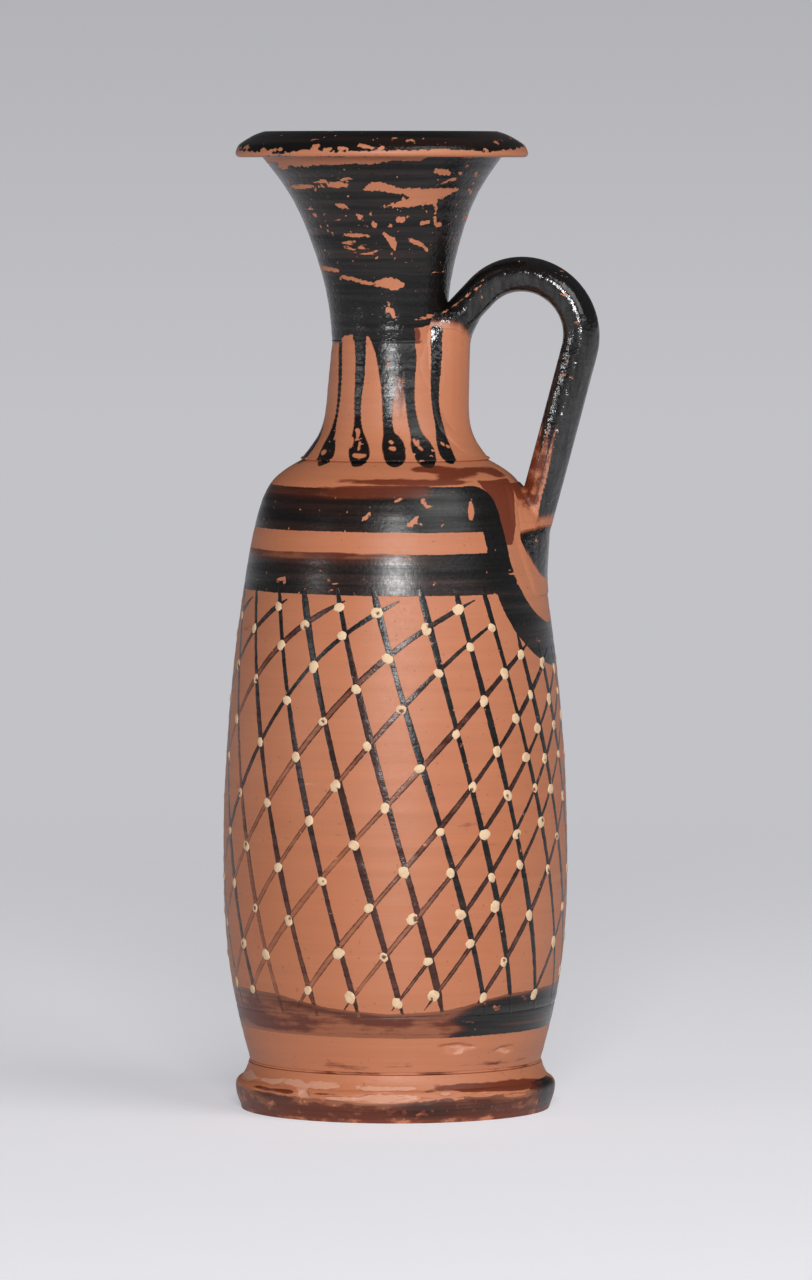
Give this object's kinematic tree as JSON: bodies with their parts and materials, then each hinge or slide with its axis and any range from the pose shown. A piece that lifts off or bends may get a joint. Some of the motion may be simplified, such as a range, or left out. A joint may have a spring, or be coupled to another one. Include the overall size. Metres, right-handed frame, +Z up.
{
  "type": "lekythos",
  "caption": "Tall clay oil flask with a flaring mouth, narrow neck, arched strap handle, broad body and disc foot, painted with dark bands and a net of lines.",
  "frame": {"origin": "on the body's axis, in the plane that the foot rests on", "axes": "+Z up along the body's axis, +X towards the handle"},
  "size_m": [0.0777, 0.071, 0.2],
  "materials": {
    "fired_clay": "burnished orange fired clay",
    "black_gloss": "worn black gloss slip",
    "slip": "fired joining slip"
  },
  "bodies": {
    "root": {"foot": "fired_clay", "foot_slip_bed": "slip", "body": "fired_clay", "neck_slip_ring": "slip", "neck": "fired_clay", "mouth_slip_ring": "slip", "mouth": "black_gloss", "handle": "black_gloss", "handle_upper_slip": "slip", "handle_lower_slip": "slip"}
  },
  "joints": []
}
